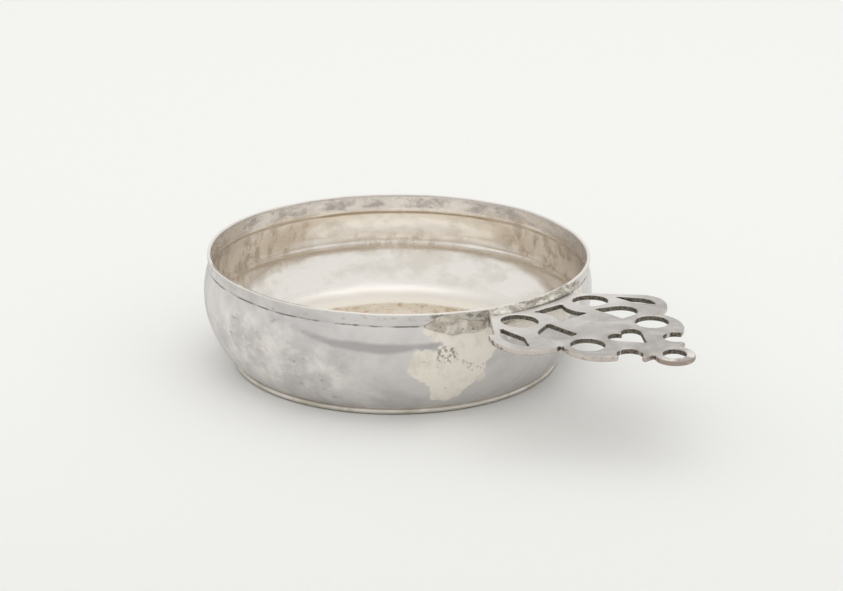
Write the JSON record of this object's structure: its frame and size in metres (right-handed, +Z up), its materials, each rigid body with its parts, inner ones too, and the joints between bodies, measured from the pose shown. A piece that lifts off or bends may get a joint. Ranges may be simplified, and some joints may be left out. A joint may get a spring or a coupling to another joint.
{
  "type": "porringer",
  "caption": "Shallow round metal bowl with an upright collar, a domed bottom, a wire foot and a flat pierced handle.",
  "frame": {"origin": "on the table, under the middle of the overall length, on the plane that halves bowl and handle", "axes": "+X along the handle, away from the bowl; +Z up, square to the table"},
  "size_m": [0.1886, 0.126, 0.036],
  "materials": {
    "raised_silver": "hammered sheet, planished, worn and lightly scratched",
    "cast_silver": "cast, filed and worn to a soft satin",
    "wire_silver": "drawn wire, worn bright",
    "silver_solder": "pitted hard solder, grey in the hollows",
    "patch_silver": "thin hammered patch, dull and scratched"
  },
  "bodies": {
    "root": {"bowl": "raised_silver", "foot_ring": "wire_silver", "handle": "cast_silver", "upper_solder_seam": "silver_solder", "lower_solder_seam": "silver_solder", "repair_patch": "patch_silver"}
  },
  "joints": []
}
